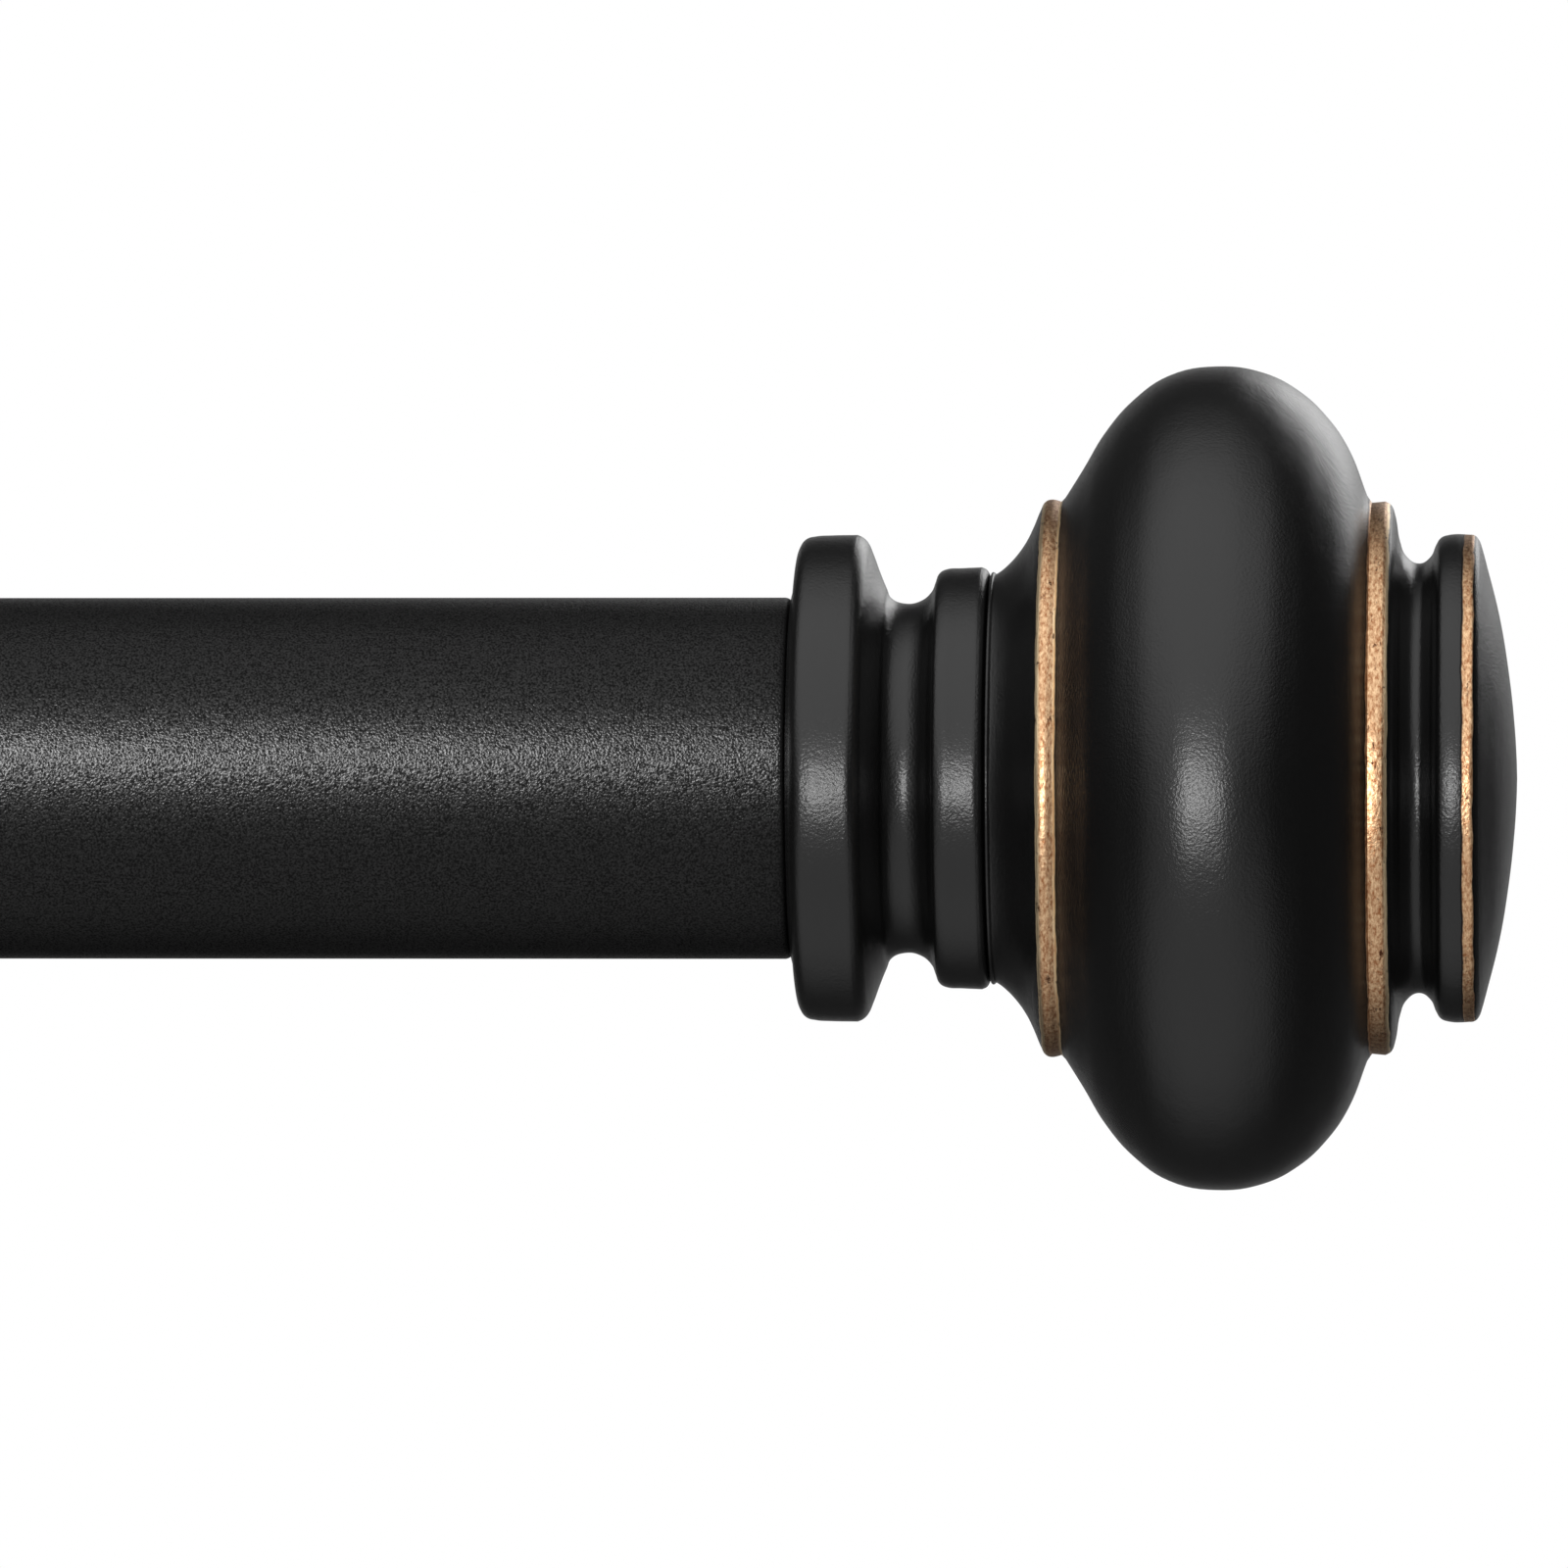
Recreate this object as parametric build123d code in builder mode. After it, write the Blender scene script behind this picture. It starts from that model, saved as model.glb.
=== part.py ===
from build123d import *
import os

# A telescopic curtain rod, 25.4 mm (1 in) outer tube, on two adjustable wall brackets.
# +X runs along the rod to the right finial, +Y goes into the wall, +Z is up.
# The origin is on the wall, midway between the four wall screw holes. Millimetres.

# Rod
tube_r = 12.7
tube_wall = 1.0
inner_r = 11.1
inner_wall = 0.8
tube_len = 660.0
closed_span = 711.0  # finial to finial with the rod pushed in
tube_edge_round = 0.4
guide_gap = 0.06  # radial play of the sliding tube in its two nylon guides

# Bush in the outer tube's mouth and guide plug on the inner tube's hidden end
bush_sleeve_len = 14.0
bush_flange_len = 1.5
guide_head_len = 10.0
guide_spigot_len = 12.0
guide_hole_r = 6.0

# End plugs with captive nuts, and the studs that the finials turn on
plug_len = 16.0
plug_recess = 0.2
stud_r = 3.0
thread_gap = 0.05  # radial play drawn between every screw and its hole
nut_across_flats = 10.0
nut_thick = 5.0
stud_in_plug = 14.5
stud_in_finial = 30.0
stud_chamfer = 0.5

# Finial, measured outwards from the end of its tube
finial_gap = 0.1
collar_r = 17.05
neck_joint = 14.0  # where the neck piece meets the turned body
bulb_r = 28.85
finial_len = 50.8

# Wall plates
bracket_x = 265.0  # each bracket's distance from the middle
plate_width = 26.0
plate_height = 76.0
plate_thick = 3.0
plate_round = 1.0
hole_pitch = 56.0
hole_r = 2.4
countersink_r = 4.2

# Projection arm, its socket and the cradle
projection = 90.0  # wall to the rod's centre with the arms pushed in
rod_y = -projection
arm_side = 12.0
arm_wall = 1.5
arm_back_y = -5.0
socket_side = 15.0
socket_front_y = -55.0
slide_gap = 0.05
lock_screw_y = -47.0
cradle_gap = 0.1
cradle_thick = 2.0
cradle_width = 16.0
cradle_lip = 9.0  # the two walls stand this far above the rod's centre
boss_r = 5.0
boss_reach = 6.0  # from the surface a thumb screw bears on to its boss's outer face

# Thumb screws, measured outwards from the surface that the tip bears on
screw_r = 2.5
screw_tip = 0.05
screw_end = 14.0
knob_start = 7.0
knob_len = 9.0
knob_r = 7.0
knob_chamfer = 0.8

half_span = closed_span / 2
tube_bore_r = tube_r - tube_wall
inner_bore_r = inner_r - inner_wall
outer_mouth_x = half_span - tube_len
inner_hidden_x = tube_len - half_span
cradle_inner_r = tube_r + cradle_gap
cradle_outer_r = cradle_inner_r + cradle_thick

os.makedirs("parts", exist_ok=True)


def save(piece, name):
    piece.part.label = name
    export_step(piece.part, f"parts/{name}.step")


def rod_section(x, facing=1):
    """A plane square to the rod at x, looking along +X or -X, centred on the rod."""
    return Plane(origin=(x, rod_y, 0), x_dir=(0, 1, 0), z_dir=(facing, 0, 0))


def end_section(side):
    """A plane through the rod's axis: x runs outwards from a tube's end, y is up."""
    return Plane(origin=(side * half_span, rod_y, 0), x_dir=(side, 0, 0), z_dir=(0, -side, 0))


# ---------------------------------------------------------------- the two tubes

with BuildPart() as outer_tube:
    with BuildSketch(rod_section(outer_mouth_x)):
        Circle(tube_r)
        Circle(tube_bore_r, mode=Mode.SUBTRACT)
    extrude(amount=tube_len)
    right_rim = outer_tube.edges().filter_by(GeomType.CIRCLE).group_by(Axis.X)[-1]
    fillet(right_rim.sort_by(SortBy.RADIUS)[-1], tube_edge_round)
save(outer_tube, "outer_tube")

with BuildPart() as inner_tube:
    with BuildSketch(rod_section(-half_span)):
        Circle(inner_r)
        Circle(inner_bore_r, mode=Mode.SUBTRACT)
    extrude(amount=tube_len)
    left_rim = inner_tube.edges().filter_by(GeomType.CIRCLE).group_by(Axis.X)[0]
    fillet(left_rim.sort_by(SortBy.RADIUS)[-1], tube_edge_round)
save(inner_tube, "inner_tube")

# Nylon bush: a sleeve pressed into the outer tube's mouth, with a flange over the cut edge.
with BuildPart() as mouth_bush:
    with BuildSketch(rod_section(outer_mouth_x)):
        Circle(tube_bore_r)
    extrude(amount=bush_sleeve_len)
    with BuildSketch(rod_section(outer_mouth_x, facing=-1)):
        Circle(tube_r)
    extrude(amount=bush_flange_len)
    fillet(mouth_bush.edges().group_by(Axis.X)[0], 0.6)
    with BuildSketch(rod_section(outer_mouth_x - bush_flange_len)):
        Circle(inner_r + guide_gap)
    extrude(amount=bush_flange_len + bush_sleeve_len, mode=Mode.SUBTRACT)
save(mouth_bush, "mouth_bush")

# Nylon guide plug: a spigot pressed into the inner tube's hidden end, and a head that runs
# in the outer tube and keeps the two tubes in line.
with BuildPart() as guide_plug:
    with BuildSketch(rod_section(inner_hidden_x)):
        Circle(tube_bore_r - guide_gap)
    extrude(amount=guide_head_len)
    chamfer(guide_plug.edges().group_by(Axis.X)[-1], 1.0)
    with BuildSketch(rod_section(inner_hidden_x, facing=-1)):
        Circle(inner_bore_r)
    extrude(amount=guide_spigot_len)
    with BuildSketch(rod_section(inner_hidden_x - guide_spigot_len)):
        Circle(guide_hole_r)
    extrude(amount=guide_spigot_len + guide_head_len, mode=Mode.SUBTRACT)
save(guide_plug, "guide_plug")


# ---------------------------------------------------------------- end plugs and nuts


def end_plug(side, tube, bore_r):
    """A nylon plug in a tube's open end, with a hexagonal pocket that holds an M6 nut."""
    face_x = side * (half_span - plug_recess)
    with BuildPart() as plug:
        with BuildSketch(rod_section(face_x, facing=-side)):
            Circle(bore_r)
            Circle(stud_r + thread_gap, mode=Mode.SUBTRACT)
        extrude(amount=plug_len)
        with BuildSketch(rod_section(face_x, facing=-side)):
            RegularPolygon(radius=nut_across_flats / 2, side_count=6, major_radius=False)
        extrude(amount=nut_thick, mode=Mode.SUBTRACT)
    save(plug, f"{tube}_end_plug")

    with BuildPart() as nut:
        with BuildSketch(rod_section(face_x, facing=-side)):
            RegularPolygon(radius=nut_across_flats / 2, side_count=6, major_radius=False)
            Circle(stud_r + thread_gap, mode=Mode.SUBTRACT)
        extrude(amount=nut_thick)
    save(nut, f"{tube}_plug_nut")


end_plug(1, "outer", tube_bore_r)
end_plug(-1, "inner", inner_bore_r)


# ---------------------------------------------------------------- finials


def finial_stud(side, name):
    """The M6 stud: one half turns in the tube's nut, the other is set in the finial."""
    with BuildPart() as stud:
        with BuildSketch(rod_section(side * (half_span - stud_in_plug), facing=side)):
            Circle(stud_r)
        extrude(amount=stud_in_plug + stud_in_finial)
        chamfer(stud.edges().filter_by(GeomType.CIRCLE), stud_chamfer)
    save(stud, f"{name}_finial_stud")


def finial_neck(side, name):
    """The neck: a crowned collar against the tube's end, a scooped cove and a small ring."""
    bore = stud_r + thread_gap
    with BuildPart() as neck:
        with BuildSketch(end_section(side)):
            with BuildLine():
                # back face and bore
                Polyline((neck_joint, 14.1), (neck_joint, bore), (finial_gap, bore), (finial_gap, 14.0))
                # collar, rounded on both edges and slightly crowned
                Spline(
                    (finial_gap, 14.0), (0.45, 15.6), (1.1, 16.6), (2.4, 16.9), (4.3, collar_r),
                    tangents=[(0, 1), (1, 0)],
                )
                Spline((4.3, collar_r), (5.15, 16.85), (5.65, 16.3), tangents=[(1, 0), (0.35, -1)])
                # cove
                Spline(
                    (5.65, 16.3), (6.15, 14.8), (6.6, 13.65), (7.3, 12.6), (8.5, 12.12), (9.4, 12.35),
                    (10.05, 13.25), (10.45, 13.95),
                    tangents=[(0.35, -1), (0.5, 1)],
                )
                # neck ring
                Spline((10.45, 13.95), (11.2, 14.5), (13.2, 14.7), tangents=[(0.5, 1), (1, 0)])
                Spline((13.2, 14.7), (13.75, 14.5), (neck_joint, 14.1), tangents=[(1, 0), (0.3, -1)])
            make_face()
        revolve(axis=Axis((0, rod_y, 0), (1, 0, 0)))
    save(neck, f"{name}_finial_neck")


def finial_body(side, name):
    """The turned body: flared foot, narrow band, ring-shaped bulb, narrow band, groove,
    end ring and a shallow domed end."""
    bore = stud_r + thread_gap
    bore_end = stud_in_finial + thread_gap
    with BuildPart() as body:
        with BuildSketch(end_section(side)):
            with BuildLine():
                # bore and back face
                Polyline((finial_len, 0), (bore_end, 0), (bore_end, bore), (neck_joint, bore))
                Line((neck_joint, bore), (neck_joint, 14.1))
                # foot, with a small lip beside the neck
                Line((neck_joint, 14.1), (14.12, 14.2))
                Spline(
                    (14.12, 14.2), (15.0, 14.6), (16.0, 15.7), (17.0, 17.6), (17.6, 19.0),
                    tangents=[(1, 0.15), (0.4, 1)],
                )
                # narrow band
                Spline((17.6, 19.0), (17.85, 19.4), (18.3, 19.55), tangents=[(0.4, 1), (1, 0)])
                Line((18.3, 19.55), (19.0, 19.55))
                Line((19.0, 19.55), (19.25, 19.7))
                # bulb
                Spline(
                    (19.25, 19.7), (20.5, 21.7), (22.0, 24.2), (24.0, 26.5), (26.5, 28.2), (29.8, bulb_r),
                    (33.0, 28.4), (35.5, 27.15), (37.5, 25.3), (39.0, 23.1), (40.3, 19.8),
                )
                # narrow band
                Line((40.3, 19.8), (40.6, 19.35))
                Line((40.6, 19.35), (41.65, 19.35))
                Spline((41.65, 19.35), (42.05, 19.1), (42.25, 18.5), tangents=[(1, 0), (0.2, -1)])
                # groove
                Spline(
                    (42.25, 18.5), (42.62, 16.55), (43.05, 15.55), (43.95, 15.03), (44.75, 15.5),
                    (45.2, 16.45),
                    tangents=[(0.2, -1), (0.4, 1)],
                )
                # end ring
                Spline((45.2, 16.45), (45.5, 16.85), (46.1, 17.05), tangents=[(0.4, 1), (1, 0)])
                Line((46.1, 17.05), (47.5, 17.05))
                Spline((47.5, 17.05), (48.0, 16.75), (48.6, 15.2), tangents=[(1, 0), (0.28, -1)])
                # domed end
                TangentArc((finial_len, 0), (48.6, 15.2), tangent=(0, 1))
            make_face()
        revolve(axis=Axis((0, rod_y, 0), (1, 0, 0)))
    save(body, f"{name}_finial_body")


# ---------------------------------------------------------------- wall brackets


def wall_plate(x, name):
    """A pressed steel plate with round ends and two countersunk screw holes."""
    wall = Plane(origin=(x, 0, 0), x_dir=(1, 0, 0), z_dir=(0, -1, 0))
    with BuildPart() as plate:
        with BuildSketch(wall):
            SlotOverall(plate_height, plate_width, rotation=90)
        extrude(amount=plate_thick)
        fillet(plate.faces().sort_by(Axis.Y)[0].edges(), plate_round)
        with Locations(wall.offset(plate_thick)):
            with GridLocations(0, hole_pitch, 1, 2):
                CounterSinkHole(hole_r, countersink_r)
    save(plate, f"{name}_wall_plate")


def cradle_outline(x):
    """The filled U of the cradle, open upwards, as a sketch square to the rod."""
    with BuildSketch(rod_section(x)) as outline:
        Circle(cradle_outer_r)
        with Locations((0, cradle_lip / 2)):
            Rectangle(2 * cradle_outer_r, cradle_lip)
    return outline.sketch


def arm_socket(x, name):
    """A square tube welded to the plate, with a threaded boss below for the lock screw."""
    front = Plane(origin=(x, -plate_thick, 0), x_dir=(1, 0, 0), z_dir=(0, -1, 0))
    below = Plane(origin=(x, lock_screw_y, 0), x_dir=(1, 0, 0), z_dir=(0, 0, -1))
    bearing = arm_side / 2
    with BuildPart() as socket:
        with BuildSketch(front):
            RectangleRounded(socket_side, socket_side, 1.5)
        extrude(amount=-socket_front_y - plate_thick)
        with BuildSketch(below.offset(bearing + 1)):
            Circle(boss_r)
        extrude(amount=boss_reach - 1)
        with BuildSketch(front):
            Rectangle(arm_side + 2 * slide_gap, arm_side + 2 * slide_gap)
        extrude(amount=-socket_front_y, mode=Mode.SUBTRACT)
        with BuildSketch(below):
            Circle(screw_r + thread_gap)
        extrude(amount=2 * bearing + boss_reach, mode=Mode.SUBTRACT)
    save(socket, f"{name}_arm_socket")


def projection_arm(x, name):
    """A square tube that slides in the socket, its front end coped to the cradle."""
    back = Plane(origin=(x, arm_back_y, 0), x_dir=(1, 0, 0), z_dir=(0, -1, 0))
    with BuildPart() as arm:
        with BuildSketch(back):
            Rectangle(arm_side, arm_side)
            Rectangle(arm_side - 2 * arm_wall, arm_side - 2 * arm_wall, mode=Mode.SUBTRACT)
        extrude(amount=arm_back_y - rod_y)
        extrude(cradle_outline(x), amount=arm_side, both=True, mode=Mode.SUBTRACT)
    save(arm, f"{name}_arm")


def cradle(x, name):
    """A steel strip bent to a U that the rod drops into, with a boss for its thumb screw."""
    in_front = Plane(origin=(x, rod_y, 0), x_dir=(1, 0, 0), z_dir=(0, -1, 0))
    with BuildPart() as cup:
        extrude(cradle_outline(x), amount=cradle_width / 2, both=True)
        with BuildSketch(in_front.offset(tube_r + cradle_gap)):
            Circle(boss_r)
        extrude(amount=boss_reach - cradle_gap)
        with BuildSketch(rod_section(x)):
            Circle(cradle_inner_r)
            with Locations((0, cradle_outer_r / 2)):
                Rectangle(2 * cradle_inner_r, cradle_outer_r)
        extrude(amount=cradle_width, both=True, mode=Mode.SUBTRACT)
        with BuildSketch(in_front):
            Circle(screw_r + thread_gap)
        extrude(amount=2 * cradle_outer_r, mode=Mode.SUBTRACT)
        fillet(cup.edges().group_by(Axis.Z)[-1], 0.6)
    save(cup, f"{name}_cradle")


def thumb_screw(bearing, name):
    """A thumb screw that bears on the given plane: its threaded shank and its round knob."""
    with BuildPart() as shank:
        with BuildSketch(bearing.offset(screw_tip)):
            Circle(screw_r)
        extrude(amount=screw_end - screw_tip)
        chamfer(shank.edges().filter_by(GeomType.CIRCLE), 0.4)
    save(shank, f"{name}_screw")

    with BuildPart() as knob:
        with BuildSketch(bearing.offset(knob_start)):
            Circle(knob_r)
        extrude(amount=knob_len)
        chamfer(knob.edges().filter_by(GeomType.CIRCLE), knob_chamfer)
        with BuildSketch(bearing.offset(knob_start)):
            Circle(screw_r + thread_gap)
        extrude(amount=screw_end - knob_start + thread_gap, mode=Mode.SUBTRACT)
    save(knob, f"{name}_knob")


for side, name in ((1, "right"), (-1, "left")):
    x = side * bracket_x
    finial_stud(side, name)
    finial_neck(side, name)
    finial_body(side, name)
    wall_plate(x, name)
    arm_socket(x, name)
    projection_arm(x, name)
    cradle(x, name)
    under_arm = Plane(origin=(x, lock_screw_y, -arm_side / 2), x_dir=(1, 0, 0), z_dir=(0, 0, -1))
    thumb_screw(under_arm, f"{name}_arm")
    rod_front = Plane(origin=(x, rod_y - tube_r, 0), x_dir=(1, 0, 0), z_dir=(0, -1, 0))
    thumb_screw(rod_front, f"{name}_cradle")
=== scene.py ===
import bpy
import math
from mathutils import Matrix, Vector


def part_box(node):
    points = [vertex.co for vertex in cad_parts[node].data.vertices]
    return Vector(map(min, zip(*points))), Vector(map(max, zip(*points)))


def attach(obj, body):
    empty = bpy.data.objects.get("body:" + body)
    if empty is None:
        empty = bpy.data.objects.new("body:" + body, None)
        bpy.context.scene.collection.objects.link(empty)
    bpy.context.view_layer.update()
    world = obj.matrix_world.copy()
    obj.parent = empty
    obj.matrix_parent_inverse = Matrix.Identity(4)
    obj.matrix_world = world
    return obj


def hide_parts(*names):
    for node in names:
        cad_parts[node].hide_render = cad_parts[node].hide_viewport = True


# The frame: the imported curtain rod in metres. +X runs along the rod to the right finial, +Y goes
# into the wall and +Z is up. Every place below is worked out from its boxes.
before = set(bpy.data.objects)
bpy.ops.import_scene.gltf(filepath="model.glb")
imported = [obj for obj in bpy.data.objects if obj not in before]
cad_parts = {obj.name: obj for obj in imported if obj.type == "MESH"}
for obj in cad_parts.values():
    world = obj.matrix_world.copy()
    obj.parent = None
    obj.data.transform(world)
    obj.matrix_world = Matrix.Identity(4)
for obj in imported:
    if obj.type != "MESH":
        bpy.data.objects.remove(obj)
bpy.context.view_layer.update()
mm = 0.001
tube_low, tube_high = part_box("outer_tube")
tube_end = tube_high.x
tube_r = (tube_high.z - tube_low.z) / 2
rod_y = (tube_low.y + tube_high.y) / 2

# Camera: level with the rod, 1.3 m in front of it and a little to the right of the finial,
# with a long lens.
camera_reach = 1305 * mm
camera_past_tube = 63.5 * mm
camera_turn = math.radians(2.81)
camera_data = bpy.data.cameras.new("camera")
camera_data.lens = 428
camera_data.sensor_width = 36
camera = bpy.data.objects.new("camera", camera_data)
camera.location = (tube_end + camera_past_tube, rod_y - camera_reach, -0.4 * mm)
camera.rotation_euler = (math.radians(90), 0, camera_turn)
bpy.context.scene.collection.objects.link(camera)
bpy.context.scene.camera = camera

# Floor: a plain pale studio floor, below the hanging rod, kept out of its reflections.
floor_drop = 300 * mm
floor_size = 8000 * mm
bpy.ops.mesh.primitive_plane_add(size=floor_size, location=(0, 0, -floor_drop))
floor = bpy.context.object
floor.name = "studio_floor"
floor.visible_glossy = False

# Studio light: a white backdrop behind the rod with a window to its right, a wide glow from above
# and in front, a weaker one from below, and darkness where the camera stands, so that the black
# paint reads as black.
world = bpy.data.worlds.new("studio")
bpy.context.scene.world = world
world.use_nodes = True


def add(tree, kind, inputs={}, **settings):
    """Adds a node, applies its settings, and gives its inputs their values or links."""
    made = tree.nodes.new(kind)
    for key, value in settings.items():
        setattr(made, key, value)
    for socket, value in inputs.items():
        if isinstance(value, bpy.types.NodeSocket):
            tree.links.new(value, made.inputs[socket])
        else:
            made.inputs[socket].default_value = value
    return made


def towards(azimuth, elevation):
    """The direction at an azimuth, measured to the right from the camera's side, and an elevation."""
    flat = math.cos(math.radians(elevation))
    turn = math.radians(azimuth)
    return (flat * math.sin(turn), -flat * math.cos(turn), math.sin(math.radians(elevation)))


sky = world.node_tree
direction = add(sky, "ShaderNodeTexCoord").outputs["Generated"]


def glow(azimuth, elevation, inner, outer, strength):
    """Light from a round patch of the surround, full inside one angle and gone outside another."""
    way = {0: direction, 1: towards(azimuth, elevation)}
    facing = add(sky, "ShaderNodeVectorMath", way, operation="DOT_PRODUCT")
    edges = {
        "Value": facing.outputs["Value"],
        "From Min": math.cos(math.radians(outer)),
        "From Max": math.cos(math.radians(inner)),
        "To Max": strength,
    }
    return add(sky, "ShaderNodeMapRange", edges, interpolation_type="SMOOTHSTEP").outputs[0]


backdrop = glow(azimuth=180, elevation=3, inner=4, outer=24, strength=0.34)
window = glow(azimuth=160, elevation=20, inner=4, outer=19, strength=2.2)
upper_glow = glow(azimuth=-20, elevation=52, inner=12, outer=76, strength=1.35)
lower_glow = glow(azimuth=-15, elevation=-56, inner=8, outer=72, strength=0.66)
surround = 0.05
for patch in (backdrop, window, upper_glow, lower_glow):
    surround = add(sky, "ShaderNodeMath", {0: surround, 1: patch}, operation="ADD").outputs[0]
seen = add(sky, "ShaderNodeLightPath").outputs["Is Camera Ray"]
strength = add(sky, "ShaderNodeMix", {0: seen, 2: surround, 3: 1.0}, data_type="FLOAT").outputs[0]
sky.links.new(strength, sky.nodes["Background"].inputs["Strength"])
sky.nodes["Background"].inputs["Color"].default_value = (1, 1, 1, 1)
bpy.context.scene.view_settings.view_transform = "Standard"


def lamp(name, azimuth, elevation, reach, width, height, radiance):
    """A soft rectangular lamp aimed at the finial, unseen by the camera."""
    data = bpy.data.lights.new(name, "AREA")
    data.shape = "RECTANGLE"
    data.size = width
    data.size_y = height
    data.energy = radiance * math.pi * width * height
    made = bpy.data.objects.new(name, data)
    way = towards(azimuth, elevation)
    made.location = (tube_end + reach * way[0], rod_y + reach * way[1], reach * way[2])
    made.rotation_euler = (math.radians(90 - elevation), 0, math.radians(azimuth))
    made.visible_camera = False
    bpy.context.scene.collection.objects.link(made)
    return made


# The tubes take their streak from a long lamp above the camera, and every other piece from one
# just below its level. Both stand a little to its left.
rod_lamp = lamp(
    "lamp_for_rod", azimuth=-6, elevation=13, reach=1.6, width=0.9, height=0.15, radiance=230,
)
front_lamp = lamp(
    "lamp_in_front", azimuth=-9, elevation=-4.6, reach=1.6, width=0.52, height=0.30, radiance=20,
)
rod_lamp.light_linking.receiver_collection = bpy.data.collections.new("tubes_lit")
front_lamp.light_linking.receiver_collection = bpy.data.collections.new("not_lit_in_front")


def keep_from_front_lamp(piece):
    """Takes a piece out of the front lamp's light."""
    unlit = front_lamp.light_linking.receiver_collection
    unlit.objects.link(piece)
    unlit.collection_objects[-1].light_linking.link_state = "EXCLUDE"


def light_as_tube(piece):
    """Puts a piece under the tubes' lamp instead of the front one."""
    rod_lamp.light_linking.receiver_collection.objects.link(piece)
    keep_from_front_lamp(piece)


keep_from_front_lamp(floor)


# Floor paint: a pale matt screed. It reads as paper-white, with a cloudiness too faint to notice.


def material(name):
    """A new node material, with its node tree and its shader."""
    made = bpy.data.materials.new(name)
    made.use_nodes = True
    return made, made.node_tree, made.node_tree.nodes["Principled BSDF"]


def colour(code):
    """An sRGB hex colour as the linear values that Blender's sockets take."""
    parts = [int(code[i : i + 2], 16) / 255 for i in (1, 3, 5)]
    return [c / 12.92 if c <= 0.04045 else ((c + 0.055) / 1.055) ** 2.4 for c in parts] + [1]


def connect(tree, shader, links):
    """Links or sets the shader's own sockets by name."""
    for socket, value in links.items():
        if isinstance(value, bpy.types.NodeSocket):
            tree.links.new(value, shader.inputs[socket])
        else:
            shader.inputs[socket].default_value = value


def noise(tree, place, per_mm, detail, **more):
    """Noise with so many cells to the millimetre."""
    return add(tree, "ShaderNodeTexNoise", {
        "Vector": place, "Scale": per_mm / mm, "Detail": detail, **more,
    }).outputs[0]


def blend(tree, amount, first, second):
    """A colour between two others."""
    return add(tree, "ShaderNodeMix", {0: amount, 6: first, 7: second}, data_type="RGBA").outputs[2]


screed, tree, shader = material("pale_matt_screed")
place = add(tree, "ShaderNodeTexCoord").outputs["Object"]
cloud = noise(tree, place, 0.003, 4)
tint = blend(tree, cloud, colour("#e9e8e6"), colour("#f2f1ef"))
connect(tree, shader, {"Base Color": tint, "Roughness": 0.8})
floor.data.materials.append(screed)


# Satin black powder coat on the rod: the eye sees a plain black tube, whose fine grain breaks the
# streak of light along it into close bright specks.


def ramp(tree, value, low, high, start=0.0, end=1.0):
    """A value's span from start to end, stretched over low to high."""
    return add(tree, "ShaderNodeMapRange", {
        "Value": value, "From Min": start, "From Max": end, "To Min": low, "To Max": high,
    }).outputs[0]


def heaped(tree, swell, amount, grain):
    """So much of a slow swell with a fine grain on top."""
    parts = {0: swell, 1: amount, 2: grain}
    return add(tree, "ShaderNodeMath", parts, operation="MULTIPLY_ADD").outputs[0]


def relief(tree, height, strength, distance):
    """The normal of a surface with a shallow relief."""
    return add(tree, "ShaderNodeBump", {
        "Height": height, "Strength": strength, "Distance": distance,
    }).outputs[0]


powder_coat, tree, shader = material("satin_black_powder_coat")
place = add(tree, "ShaderNodeTexCoord").outputs["Object"]
grain = noise(tree, place, 6.6, 1, Roughness=0.5)
orange_peel = noise(tree, place, 0.7, 2)
height = heaped(tree, orange_peel, 0.4, grain)
bump = relief(tree, height, 1.0, 0.04 * mm)
tone = blend(tree, grain, colour("#050505"), colour("#090909"))
gloss = ramp(tree, grain, 0.28, 0.38)
sparkle = ramp(tree, grain, 0.02, 0.24, 0.36, 0.64)
connect(tree, shader, {
    "Base Color": tone, "Roughness": gloss, "Normal": bump, "Specular IOR Level": sparkle,
})


# Outer tube: 25.4 mm steel tube, cut square and lightly rounded at its ends, powder coated
# outside. The right finial butts against its right end.
sharp = "VECTOR"
soft = "AUTO"


def drawn(name, outline):
    """A line of edges through (place, kind) points. A sharp point is a corner or the end of a
    straight, a soft one lies on a smooth curve."""
    bpy.ops.object.select_all(action="DESELECT")
    bpy.ops.curve.primitive_bezier_curve_add(location=(0, 0, 0))
    made = bpy.context.object
    made.name = name
    made.data.resolution_u = 6  # straight steps between two points
    spline = made.data.splines[0]
    spline.bezier_points.add(len(outline) - 2)
    for point, (place, kind) in zip(spline.bezier_points, outline):
        point.co = place
        point.handle_left_type = kind
        point.handle_right_type = kind
    bpy.ops.object.convert(target="MESH")
    return made


def turned(name, outline, steps):
    """A piece turned about the rod's axis from an outline of (x, r, kind) points in metres."""
    made = drawn(name, [((x, rod_y, r), kind) for x, r, kind in outline])
    bpy.ops.object.mode_set(mode="EDIT")
    bpy.ops.mesh.select_all(action="SELECT")
    bpy.ops.mesh.spin(steps=steps, angle=math.tau, center=(0, rod_y, 0), axis=(1, 0, 0))
    bpy.ops.mesh.select_all(action="SELECT")
    bpy.ops.mesh.remove_doubles(threshold=2e-6)
    bpy.ops.mesh.normals_make_consistent(inside=False)
    bpy.ops.object.mode_set(mode="OBJECT")
    bpy.ops.object.shade_smooth_by_angle(angle=math.radians(35))
    return made


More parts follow.
